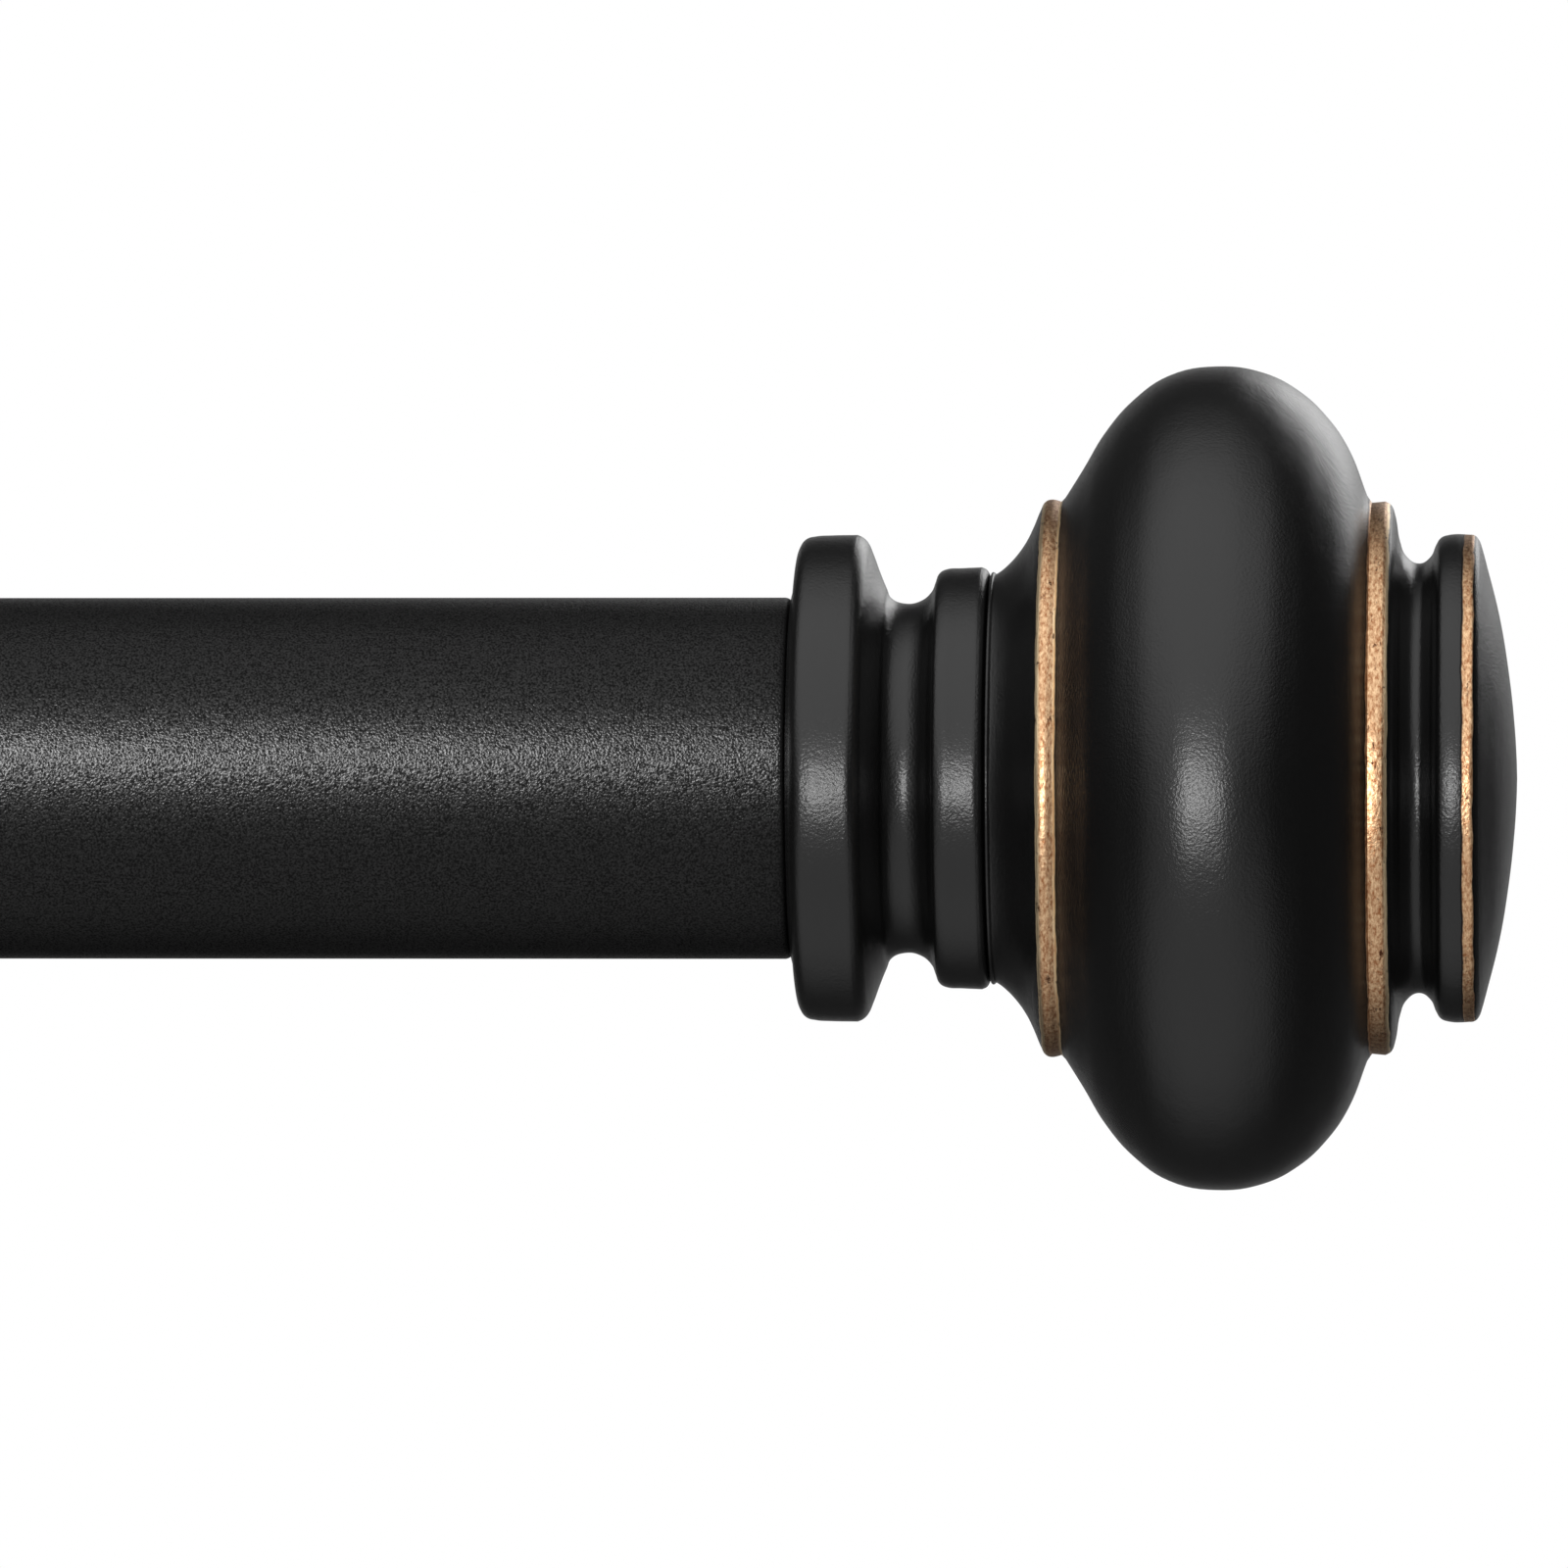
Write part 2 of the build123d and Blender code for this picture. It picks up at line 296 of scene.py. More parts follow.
def place_piece(piece, paint, body, node):
    """Paints a piece, makes it ride on its body and lets it stand for its CAD node."""
    piece.data.materials.clear()
    piece.data.materials.append(paint)
    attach(piece, body)
    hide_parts(node)


tube_bore = tube_r - 1.0 * mm
edge = 0.4 * mm
edge_middle = 0.12 * mm  # how far in the rounded edge's middle lies on both sides
outer_tube = turned("outer_tube_coated", [
    (tube_low.x, tube_bore, sharp),
    (tube_low.x, tube_r - edge, sharp),
    (tube_low.x + edge_middle, tube_r - edge_middle, soft),
    (tube_low.x + edge, tube_r, sharp),
    (tube_high.x - edge, tube_r, sharp),
    (tube_high.x - edge_middle, tube_r - edge_middle, soft),
    (tube_high.x, tube_r - edge, sharp),
    (tube_high.x, tube_bore, sharp),
    (tube_low.x, tube_bore, sharp),
], 192)
place_piece(outer_tube, powder_coat, "outer_rod", "outer_tube")
light_as_tube(outer_tube)


# Inner tube: 22.2 mm steel tube with the same coat, which slides out of the outer tube's mouth.
# The left finial butts against its left end.
inner_low, inner_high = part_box("inner_tube")
inner_r = (inner_high.z - inner_low.z) / 2
inner_bore = inner_r - 0.8 * mm
inner_tube = turned("inner_tube_coated", [
    (inner_low.x, inner_bore, sharp),
    (inner_low.x, inner_r - edge, sharp),
    (inner_low.x + edge_middle, inner_r - edge_middle, soft),
    (inner_low.x + edge, inner_r, sharp),
    (inner_high.x, inner_r, sharp),
    (inner_high.x, inner_bore, sharp),
    (inner_low.x, inner_bore, sharp),
], 192)
place_piece(inner_tube, powder_coat, "inner_rod", "inner_tube")
light_as_tube(inner_tube)

# Mouth bush: a moulded black nylon sleeve pressed into the outer tube's mouth, with a rounded
# flange that covers the cut edge and wipes the inner tube. It looks duller and softer than the coat.
black_nylon, tree, shader = material("moulded_black_nylon")
place = add(tree, "ShaderNodeTexCoord").outputs["Object"]
spark = noise(tree, place, 2.6, 3)
flow = noise(tree, place, 0.12, 2, Distortion=1.0)
tone = blend(tree, flow, colour("#121214"), colour("#1c1c1f"))
bump = relief(tree, spark, 0.4, 0.04 * mm)
gloss = ramp(tree, flow, 0.48, 0.62)
connect(tree, shader, {"Base Color": tone, "Roughness": gloss, "Normal": bump})

bush_low, bush_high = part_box("mouth_bush")
bush_bore = inner_r + 0.06 * mm
flange_edge = 0.6 * mm
flange_middle = 0.18 * mm
bore_chamfer = 0.3 * mm
lead_in = 0.4 * mm
mouth_x = tube_low.x
mouth_bush = turned("mouth_bush_moulded", [
    (bush_low.x, bush_bore + bore_chamfer, sharp),
    (bush_low.x, tube_r - flange_edge, sharp),
    (bush_low.x + flange_middle, tube_r - flange_middle, soft),
    (bush_low.x + flange_edge, tube_r, sharp),
    (mouth_x, tube_r, sharp),
    (mouth_x, tube_bore, sharp),
    (bush_high.x - lead_in, tube_bore, sharp),
    (bush_high.x, tube_bore - lead_in / 2, sharp),
    (bush_high.x, bush_bore, sharp),
    (bush_low.x + bore_chamfer, bush_bore, sharp),
    (bush_low.x, bush_bore + bore_chamfer, sharp),
], 128)
place_piece(mouth_bush, black_nylon, "outer_rod", "mouth_bush")

# Guide plug and end plugs: natural nylon mouldings inside the tubes. Their CAD shapes are shown
# as they are, in a milky nylon that lets a little light in.
natural_nylon, tree, shader = material("natural_nylon")
place = add(tree, "ShaderNodeTexCoord").outputs["Object"]
haze = noise(tree, place, 0.18, 3)
tone = blend(tree, haze, colour("#d8d2c0"), colour("#eae5d6"))
spark = noise(tree, place, 2.2, 2)
bump = relief(tree, spark, 0.3, 0.03 * mm)
connect(tree, shader, {
    "Base Color": tone, "Roughness": 0.45, "Normal": bump,
    "Subsurface Weight": 0.25, "Subsurface Scale": 2 * mm,
})


def repaint(node, paint):
    """Gives a CAD node a new material and leaves its mesh alone."""
    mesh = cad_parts[node].data
    mesh.materials.clear()
    mesh.materials.append(paint)


for node in ("guide_plug", "outer_end_plug", "inner_end_plug"):
    repaint(node, natural_nylon)

# Plug nuts: M6 hexagon nuts held in the end plugs. Bright zinc plating gives them a cold silver
# shine that clouds over in blotches.
zinc, tree, shader = material("bright_zinc_plated_steel")
place = add(tree, "ShaderNodeTexCoord").outputs["Object"]
bloom = noise(tree, place, 0.4, 4, Distortion=0.6)
tone = blend(tree, bloom, colour("#a9adb1"), colour("#cfd1d2"))
fine = noise(tree, place, 3.5, 2)
bump = relief(tree, fine, 0.25, 0.02 * mm)
gloss = ramp(tree, bloom, 0.22, 0.42)
connect(tree, shader, {"Base Color": tone, "Metallic": 1.0, "Roughness": gloss, "Normal": bump})
for node in ("outer_plug_nut", "inner_plug_nut"):
    repaint(node, zinc)

# Finial studs: M6 studs of zinc-plated steel, half in the tube's nut and half in the finial. The
# rolled thread is a real helix with flat crests, cut square at both ends.


def apply_modifier(piece, kind, **settings):
    """Adds a modifier to a piece and applies it."""
    bpy.ops.object.select_all(action="DESELECT")
    bpy.context.view_layer.objects.active = piece
    piece.select_set(True)
    made = piece.modifiers.new(kind.lower(), kind)
    for key, value in settings.items():
        setattr(made, key, value)
    bpy.ops.object.modifier_apply(modifier=made.name)


def threaded(name, crest, pitch, length):
    """A threaded rod along Z from the origin, swept one pitch at a time and cut flat at both ends."""
    root = crest - 0.61 * pitch  # the depth of a metric thread
    flank = [(root, -0.5), (root, -0.42), (crest, -0.06), (crest, 0.06), (root, 0.42), (root, 0.5)]
    made = drawn(name, [((r, 0, z * pitch), sharp) for r, z in flank])
    bpy.ops.object.mode_set(mode="EDIT")
    bpy.ops.mesh.select_all(action="SELECT")
    bpy.ops.mesh.dissolve_limited(angle_limit=math.radians(1))
    bpy.ops.object.mode_set(mode="OBJECT")
    turns = math.ceil(length / pitch) + 2
    apply_modifier(
        made, "SCREW", axis="Z", angle=math.tau, screw_offset=pitch, iterations=turns, steps=36,
        render_steps=36, use_merge_vertices=False, use_normal_calculate=True,
    )
    bpy.ops.object.mode_set(mode="EDIT")
    bpy.ops.mesh.select_all(action="SELECT")
    bpy.ops.mesh.remove_doubles(threshold=2e-6)
    bpy.ops.mesh.bisect(plane_co=(0, 0, pitch), plane_no=(0, 0, 1), use_fill=True, clear_inner=True)
    bpy.ops.mesh.select_all(action="SELECT")
    bpy.ops.mesh.bisect(plane_co=(0, 0, pitch + length), plane_no=(0, 0, 1), use_fill=True, clear_outer=True)
    bpy.ops.mesh.select_all(action="SELECT")
    bpy.ops.mesh.normals_make_consistent(inside=False)
    bpy.ops.transform.translate(value=(0, 0, -pitch))
    bpy.ops.object.mode_set(mode="OBJECT")
    bpy.ops.object.shade_smooth_by_angle(angle=math.radians(30))
    return made


def settle(piece, location, rotation):
    """Turns and moves a piece made at the origin, and puts its place into its mesh."""
    bpy.ops.object.select_all(action="DESELECT")
    bpy.context.view_layer.objects.active = piece
    piece.select_set(True)
    piece.location = location
    piece.rotation_euler = rotation
    bpy.ops.object.transform_apply(location=True, rotation=True, scale=True)


def twin(piece, name):
    """A copy of a piece with a mesh of its own."""
    made = piece.copy()
    made.data = piece.data.copy()
    made.name = name
    bpy.context.scene.collection.objects.link(made)
    return made


right_angle = math.radians(90)
stud_low, stud_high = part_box("right_finial_stud")
stud_r = (stud_high.z - stud_low.z) / 2
stud_pitch = 1.0 * mm
right_stud = threaded("right_stud_threaded", stud_r, stud_pitch, stud_high.x - stud_low.x)
left_stud = twin(right_stud, "left_stud_threaded")
settle(right_stud, (stud_low.x, rod_y, 0), (0, right_angle, 0))
settle(left_stud, (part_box("left_finial_stud")[0].x, rod_y, 0), (0, right_angle, 0))
place_piece(right_stud, zinc, "right_finial_stud", "right_finial_stud")
place_piece(left_stud, zinc, "left_finial_stud", "left_finial_stud")


# Finials: cast resin, sprayed satin black, each in two turned pieces on one stud. Two narrow
# bands beside the bulb and the edge of the end ring are picked out by hand in bronze paint: it glitters
# like worn gold leaf, with a dull margin beside it, and a cream line along its edges is painted highlight.
finial_paint, tree, shader = material("satin_black_paint_with_bronze_bands")
place = add(tree, "ShaderNodeTexCoord").outputs["Object"]
axis = add(tree, "ShaderNodeSeparateXYZ", {0: place})
half_span = add(tree, "ShaderNodeMath", {0: axis.outputs["X"]}, operation="ABSOLUTE")
from_tube = add(tree, "ShaderNodeMath", {0: half_span.outputs[0], 1: tube_end}, operation="SUBTRACT")
wave = noise(tree, place, 0.32, 4, Roughness=0.55)
wander = ramp(tree, wave, -0.16 * mm, 0.16 * mm)
along = add(tree, "ShaderNodeMath", {0: from_tube.outputs[0], 1: wander}, operation="ADD").outputs[0]


def stripes(spans, blur):
    """1 on spans between two distances in mm from the tube's end, fading to 0 beside them."""
    covered = 0.0
    for low, high in spans:
        middle = (low + high) / 2 * mm
        reach = (high - low) / 2 * mm
        off = add(tree, "ShaderNodeMath", {0: along, 1: middle}, operation="SUBTRACT").outputs[0]
        away = add(tree, "ShaderNodeMath", {0: off}, operation="ABSOLUTE").outputs[0]
        on = ramp(tree, away, 0, 1, reach + blur, reach - blur)
        covered = add(tree, "ShaderNodeMath", {0: covered, 1: on}, operation="MAXIMUM").outputs[0]
    return covered


painted = stripes([(17.72, 19.05), (40.55, 41.95), (47.16, 47.84)], 0.05 * mm)
# inside: where the bronze keeps its own colour; between it and the painted span's edge a cream line is
# painted in as highlight
inside = stripes([(17.92, 18.9), (40.4, 41.78), (46.8, 48.2)], 0.05 * mm)
margin = stripes([(17.6, 19.17), (40.43, 42.07), (47.02, 47.98)], 0.04 * mm)

grain = noise(tree, place, 5, 2, Roughness=0.6)
swell = noise(tree, place, 0.3, 2)
height = heaped(tree, swell, 1.5, grain)
bump = relief(tree, height, 0.8, 0.04 * mm)
black = blend(tree, grain, colour("#070707"), colour("#0c0c0c"))

brushed = add(tree, "ShaderNodeMapping", {"Vector": place, "Scale": (1.0, 0.45, 0.45)}).outputs[0]
streak = noise(tree, brushed, 5.2, 3, Roughness=0.7)
leaf = ramp(tree, streak, 0, 1, 0.35, 0.65)
bronze = blend(tree, leaf, colour("#a06a45"), colour("#ecc79d"))
# The cream colour here is a painted highlight on the raised edge of the bronze paint.
bronze_with_painted_edge_highlight = blend(tree, inside, colour("#f3d9b0"), bronze)
scuff = noise(tree, brushed, 1.9, 4, Roughness=0.75)
worn = ramp(tree, scuff, 0, 1, 0.60, 0.68)
worn_bronze_with_painted_highlight = blend(tree, worn, bronze_with_painted_edge_highlight, colour("#4b2a1b"))
base = blend(tree, painted, black, worn_bronze_with_painted_highlight)
gloss = ramp(tree, painted, 0.27, 0.36)
beside = ramp(tree, margin, 0.5, 0.1)
sheen = add(tree, "ShaderNodeMix", {0: painted, 2: beside, 3: 0.5}, data_type="FLOAT").outputs[0]
connect(tree, shader, {
    "Base Color": base, "Metallic": painted, "Roughness": gloss, "Normal": bump,
    "Specular IOR Level": sheen,
})

# Both outlines are in mm from the tube's end and from the axis. The neck's starts in the bore at
# the seam and goes round its back face, the collar, the cove and the neck ring.
bore = 3.05
neck_outline = [
    (14.0, bore, sharp), (0.1, bore, sharp), (0.1, 13.0, sharp), (0.36, 14.0, soft),
    (0.46, 15.5, soft), (0.66, 16.25, soft), (1.05, 16.76, soft), (1.7, 16.95, soft),
    (2.8, 17.02, soft), (4.64, 17.05, sharp), (5.0, 16.88, soft), (5.33, 16.55, soft),
    (5.65, 15.85, soft), (6.15, 14.5, soft), (6.6, 13.4, soft), (6.95, 12.66, soft),
    (7.9, 12.25, soft), (9.0, 12.4, soft), (9.85, 13.1, soft), (10.15, 13.8, soft),
    (10.38, 14.36, soft), (10.8, 14.62, soft), (12.0, 14.72, soft), (13.35, 14.78, sharp),
    (13.7, 14.6, soft), (14.0, 13.9, sharp), (14.0, bore, sharp),
]
# The body's starts at the tip: dome, end ring, groove, second band, bulb, first band, foot, bore.
body_outline = [
    (50.8, 0.0, sharp), (50.75, 1.6, soft), (50.6, 3.9, soft), (50.2, 7.5, soft),
    (49.55, 11.4, soft), (48.6, 15.2, sharp), (48.35, 16.1, soft), (48.15, 16.65, soft),
    (47.85, 16.98, soft), (47.4, 17.05, soft), (45.9, 17.0, soft), (45.45, 16.8, soft),
    (45.15, 16.35, soft), (44.75, 15.5, soft), (43.95, 15.03, soft), (43.05, 15.55, soft),
    (42.6, 16.6, soft), (42.25, 18.5, soft), (42.0, 19.12, soft), (41.6, 19.37, sharp),
    (40.65, 19.28, sharp), (40.3, 19.8, sharp), (39.0, 23.1, soft), (37.5, 25.3, soft),
    (35.5, 27.15, soft), (33.0, 28.4, soft), (29.8, 28.83, soft), (26.5, 28.2, soft),
    (24.0, 26.5, soft), (22.0, 24.2, soft), (20.5, 21.7, soft), (19.25, 19.7, sharp),
    (18.95, 19.38, sharp), (18.2, 19.52, soft), (17.8, 19.35, soft), (17.55, 18.9, soft),
    (17.0, 17.6, soft), (16.5, 16.6, soft), (15.8, 15.6, soft), (15.1, 14.86, soft),
    (14.55, 14.42, soft), (14.34, 14.3, sharp), (14.24, 14.42, soft), (14.12, 14.44, soft),
    (14.02, 14.34, soft), (14.0, 14.0, sharp), (14.0, bore, sharp), (30.05, bore, sharp),
    (30.05, 0.0, sharp),
]
for side, facing in (("right", 1), ("left", -1)):
    for part, outline in (("neck", neck_outline), ("body", body_outline)):
        points = [(facing * (tube_end + x * mm), r * mm, kind) for x, r, kind in outline]
        piece = turned(f"{side}_finial_{part}_painted", points, 256)
        place_piece(piece, finial_paint, f"{side}_finial", f"{side}_finial_{part}")

# Bracket powder coat: the rod's satin black in a slightly coarser coat, so that the pressed steel
# looks a little greyer and rougher than the rod.
bracket_coat, tree, shader = material("coarse_satin_black_powder_coat")
place = add(tree, "ShaderNodeTexCoord").outputs["Object"]
grain = noise(tree, place, 3.2, 2, Roughness=0.6)
orange_peel = noise(tree, place, 0.6, 2)
height = heaped(tree, orange_peel, 2.0, grain)
bump = relief(tree, height, 0.6, 0.05 * mm)
tone = blend(tree, grain, colour("#0a0a0a"), colour("#101010"))
gloss = ramp(tree, orange_peel, 0.36, 0.5)
connect(tree, shader, {
    "Base Color": tone, "Roughness": gloss, "Normal": bump, "Specular IOR Level": 0.4,
})


# Wall plates: 3 mm pressed steel with round ends, a rounded front edge and two countersunk
# holes for wood screws. The upper half is cut out of a disc, drawn down to the middle and mirrored.


def peg(r, start, end, far_r=None):
    """A round cutter or boss between two points along Y or Z, tapering to far_r if it is given."""
    start, end = Vector(start), Vector(end)
    bpy.ops.object.select_all(action="DESELECT")
    bpy.ops.mesh.primitive_cone_add(
        vertices=64, radius1=r, radius2=r if far_r is None else far_r, depth=(end - start).length,
    )
    made = bpy.context.object
    turn = (end - start).to_track_quat("Z", "Y").to_euler()
    settle(made, (start + end) / 2, turn)
    return made


def combine(piece, tool, operation):
    """Cuts a tool out of a piece or welds it on, and throws the tool away."""
    apply_modifier(piece, "BOOLEAN", object=tool, operation=operation, solver="EXACT")
    bpy.data.objects.remove(tool)


def smooth(piece, degrees):
    """Shades a piece smooth over every edge gentler than an angle."""
    bpy.ops.object.select_all(action="DESELECT")
    bpy.context.view_layer.objects.active = piece
    piece.select_set(True)
    bpy.ops.object.shade_smooth_by_angle(angle=math.radians(degrees))


def select_only(piece, kind, wanted):
    """Selects just the vertices, edges or polygons that a test picks, ready for edit mode."""
    for each_kind in ("vertices", "edges", "polygons"):
        for part in getattr(piece.data, each_kind):
            part.select = each_kind == kind and wanted(part)
    modes = [kind == "vertices", kind == "edges", kind == "polygons"]
    bpy.context.tool_settings.mesh_select_mode = modes
    bpy.ops.object.select_all(action="DESELECT")
    bpy.context.view_layer.objects.active = piece
    piece.select_set(True)


plate_low, plate_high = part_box("right_wall_plate")
bracket_x = (plate_low.x + plate_high.x) / 2
plate_r = (plate_high.x - plate_low.x) / 2
end_centre = plate_high.z - plate_r
bpy.ops.object.select_all(action="DESELECT")
bpy.ops.mesh.primitive_cylinder_add(vertices=96, radius=plate_r, depth=plate_high.y - plate_low.y)
plate = bpy.context.object
plate.name = "right_plate_pressed"
settle(plate, (bracket_x, (plate_low.y + plate_high.y) / 2, end_centre), (right_angle, 0, 0))
bpy.ops.object.mode_set(mode="EDIT")
bpy.ops.mesh.select_all(action="SELECT")
bpy.ops.mesh.bisect(plane_co=(0, 0, end_centre), plane_no=(0, 0, 1), clear_inner=True)
bpy.ops.mesh.extrude_region_move(TRANSFORM_OT_translate={"value": (0, 0, -end_centre)})
bpy.ops.object.mode_set(mode="OBJECT")
apply_modifier(plate, "MIRROR", use_axis=(False, False, True), merge_threshold=1e-5)
select_only(plate, "polygons", lambda face: face.normal.y < -0.9)
bpy.ops.object.mode_set(mode="EDIT")
bpy.ops.mesh.dissolve_faces()
bpy.ops.mesh.bevel(offset=1.0 * mm, segments=6, affect="EDGES")
bpy.ops.mesh.select_all(action="SELECT")
bpy.ops.mesh.normals_make_consistent(inside=False)
bpy.ops.object.mode_set(mode="OBJECT")
hole_pitch = 56 * mm
hole_r = 2.4 * mm
sink_r = 4.2 * mm
sink_slope = math.tan(math.radians(41))
sink_depth = (sink_r - hole_r) / sink_slope
front = plate_low.y
clear = 0.1 * mm  # how far the countersink's cutter stands out of the plate
for z in (-hole_pitch / 2, hole_pitch / 2):
    combine(plate, peg(hole_r, (bracket_x, front - mm, z), (bracket_x, mm, z)), "DIFFERENCE")
    wide = sink_r + clear * sink_slope
    cone = peg(wide, (bracket_x, front - clear, z), (bracket_x, front + sink_depth, z), far_r=hole_r)
    combine(plate, cone, "DIFFERENCE")
smooth(plate, 30)
left_plate = twin(plate, "left_plate_pressed")
settle(left_plate, (-2 * bracket_x, 0, 0), (0, 0, 0))
place_piece(plate, bracket_coat, "wall", "right_wall_plate")
place_piece(left_plate, bracket_coat, "wall", "left_wall_plate")

# Arm sockets: 15 mm square tube with a tapped round boss under its mouth, both welded on before
# coating, so that a soft bead runs round the foot and round the boss.
socket_low, socket_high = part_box("right_arm_socket")
socket_half = (socket_high.x - socket_low.x) / 2
arm_low, arm_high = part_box("right_arm")
arm_half = (arm_high.x - arm_low.x) / 2
lock_y = (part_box("right_arm_knob")[0].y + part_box("right_arm_knob")[1].y) / 2
slide_gap = 0.05 * mm
boss_r = 5 * mm
screw_hole_r = 2.55 * mm


def block(name, low, high):
    """A cube primitive stretched to the box between two corners."""
    bpy.ops.object.select_all(action="DESELECT")
    bpy.ops.mesh.primitive_cube_add(size=1)
    made = bpy.context.object
    made.name = name
    made.scale = [h - l for l, h in zip(low, high)]
    middle = [(h + l) / 2 for l, h in zip(low, high)]
    settle(made, middle, (0, 0, 0))
    return made


def bead(name, centre, half, corner, thick, flat):
    """A weld bead: a rounded square loop, thickened to a round rope and slightly rippled. A flat
    one lies in a plane across Y, the other across Z."""
    bpy.ops.object.select_all(action="DESELECT")
    bpy.ops.mesh.primitive_plane_add(size=2 * half)
    made = bpy.context.object
    made.name = name
    bpy.ops.object.mode_set(mode="EDIT")
    bpy.ops.mesh.select_all(action="SELECT")
    bpy.ops.mesh.bevel(offset=corner, segments=8, affect="VERTICES")
    bpy.ops.mesh.delete(type="ONLY_FACE")
    bpy.ops.mesh.select_all(action="SELECT")
    bpy.ops.mesh.subdivide(number_cuts=24 if flat else 3)
    bpy.ops.object.mode_set(mode="OBJECT")
    bpy.ops.object.convert(target="CURVE")
    made.data.bevel_depth = thick
    made.data.bevel_resolution = 4
    bpy.ops.object.convert(target="MESH")
    ripple = bpy.data.textures.new(f"{name}_ripple", "CLOUDS")
    ripple.noise_scale = 1.2 * mm
    apply_modifier(made, "DISPLACE", texture=ripple, strength=0.25 * mm, mid_level=0.8)
    settle(made, centre, (right_angle, 0, 0) if flat else (0, 0, 0))
    return made


def joined(piece, *others):
    """Joins other meshes into a piece, keeping the piece's name."""
    bpy.ops.object.select_all(action="DESELECT")
    for other in others:
        other.select_set(True)
    piece.select_set(True)
    bpy.context.view_layer.objects.active = piece
    bpy.ops.object.join()


def round_long_edges(piece, r, segments):
    """Rounds the four edges of a block that run along Y."""
    points = piece.data.vertices

    def runs_along_y(line):
        start, end = [points[index].co.y for index in line.vertices]
        return abs(start - end) > r

    select_only(piece, "edges", runs_along_y)
    bpy.ops.object.mode_set(mode="EDIT")
    bpy.ops.mesh.bevel(offset=r, segments=segments, affect="EDGES")
    bpy.ops.object.mode_set(mode="OBJECT")


def break_edges(piece, width, degrees):
    """Takes the sharpness off the edges that are steeper than an angle."""
    limit = math.radians(degrees)
    apply_modifier(piece, "BEVEL", width=width, segments=2, limit_method="ANGLE", angle_limit=limit)


socket = block(
    "right_socket_welded",
    (bracket_x - socket_half, socket_low.y, -socket_half),
    (bracket_x + socket_half, socket_high.y, socket_half),
)
socket_corner = 1.5 * mm
round_long_edges(socket, socket_corner, 6)
boss = peg(boss_r, (bracket_x, lock_y, -socket_half + 0.6 * mm), (bracket_x, lock_y, socket_low.z))
combine(socket, boss, "UNION")
hollow = arm_half + slide_gap
passage = block(
    "passage",
    (bracket_x - hollow, socket_low.y - mm, -hollow),
    (bracket_x + hollow, socket_high.y + mm, hollow),
)
combine(socket, passage, "DIFFERENCE")
hole = peg(screw_hole_r, (bracket_x, lock_y, 0), (bracket_x, lock_y, socket_low.z - mm))
combine(socket, hole, "DIFFERENCE")
break_edges(socket, 0.2 * mm, 50)
foot_bead = bead(
    "foot_bead", (bracket_x, socket_high.y - 0.5 * mm, 0),
    half=socket_half, corner=socket_corner, thick=0.9 * mm, flat=True,
)
boss_bead = bead(
    "boss_bead", (bracket_x, lock_y, -socket_half - 0.1 * mm),
    half=boss_r, corner=boss_r * 0.98, thick=0.55 * mm, flat=False,
)
joined(socket, foot_bead, boss_bead)
smooth(socket, 35)
left_socket = twin(socket, "left_socket_welded")
settle(left_socket, (-2 * bracket_x, 0, 0), (0, 0, 0))
place_piece(socket, bracket_coat, "wall", "right_arm_socket")
place_piece(left_socket, bracket_coat, "wall", "left_arm_socket")

# Projection arms: 12 mm square tube, open at the back, its front end coped to fit the cradle.
arm = block(
    "right_arm_coped",
    (bracket_x - arm_half, rod_y, -arm_half),
    (bracket_x + arm_half, arm_high.y, arm_half),
)
arm_corner = 0.7 * mm
round_long_edges(arm, arm_corner, 4)
arm_wall = 1.5 * mm
arm_bore = arm_half - arm_wall
core = block(
    "core",
    (bracket_x - arm_bore, rod_y - mm, -arm_bore),
    (bracket_x + arm_bore, arm_high.y + mm, arm_bore),
)
combine(arm, core, "DIFFERENCE")
cradle_low, cradle_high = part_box("right_cradle")
cradle_half = (cradle_high.x - cradle_low.x) / 2
cradle_outer = -cradle_low.z
strip_thick = 2 * mm
cradle_inner = cradle_outer - strip_thick
scoop = peg(cradle_outer, (bracket_x - 2 * cradle_half, rod_y, 0), (bracket_x + 2 * cradle_half, rod_y, 0))
combine(arm, scoop, "DIFFERENCE")
upper_scoop = block(
    "upper_scoop",
    (bracket_x - 2 * cradle_half, rod_y - cradle_outer, 0),
    (bracket_x + 2 * cradle_half, rod_y + cradle_outer, 2 * cradle_half),
)
combine(arm, upper_scoop, "DIFFERENCE")
smooth(arm, 35)
left_arm = twin(arm, "left_arm_coped")
settle(left_arm, (-2 * bracket_x, 0, 0), (0, 0, 0))
place_piece(arm, bracket_coat, "right_arm", "right_arm")
place_piece(left_arm, bracket_coat, "left_arm", "left_arm")

# Cradles: 2 mm steel strip bent to a U, welded on the arm, with a tapped boss in front.
lip_top = cradle_high.z
bpy.ops.object.select_all(action="DESELECT")
bpy.ops.mesh.primitive_circle_add(vertices=96, radius=cradle_inner)
cradle = bpy.context.object
cradle.name = "right_cradle_bent"
settle(cradle, (bracket_x - cradle_half, rod_y, 0), (0, right_angle, 0))
bpy.ops.object.mode_set(mode="EDIT")
bpy.ops.mesh.select_all(action="SELECT")
bpy.ops.mesh.bisect(plane_co=(0, 0, 0), plane_no=(0, 0, 1), clear_outer=True)
bpy.ops.mesh.extrude_region_move(TRANSFORM_OT_translate={"value": (0, 0, lip_top)})
bpy.ops.mesh.select_all(action="SELECT")
bpy.ops.mesh.extrude_region_move(TRANSFORM_OT_translate={"value": (2 * cradle_half, 0, 0)})
bpy.ops.mesh.select_all(action="SELECT")
bpy.ops.mesh.normals_make_consistent(inside=False)
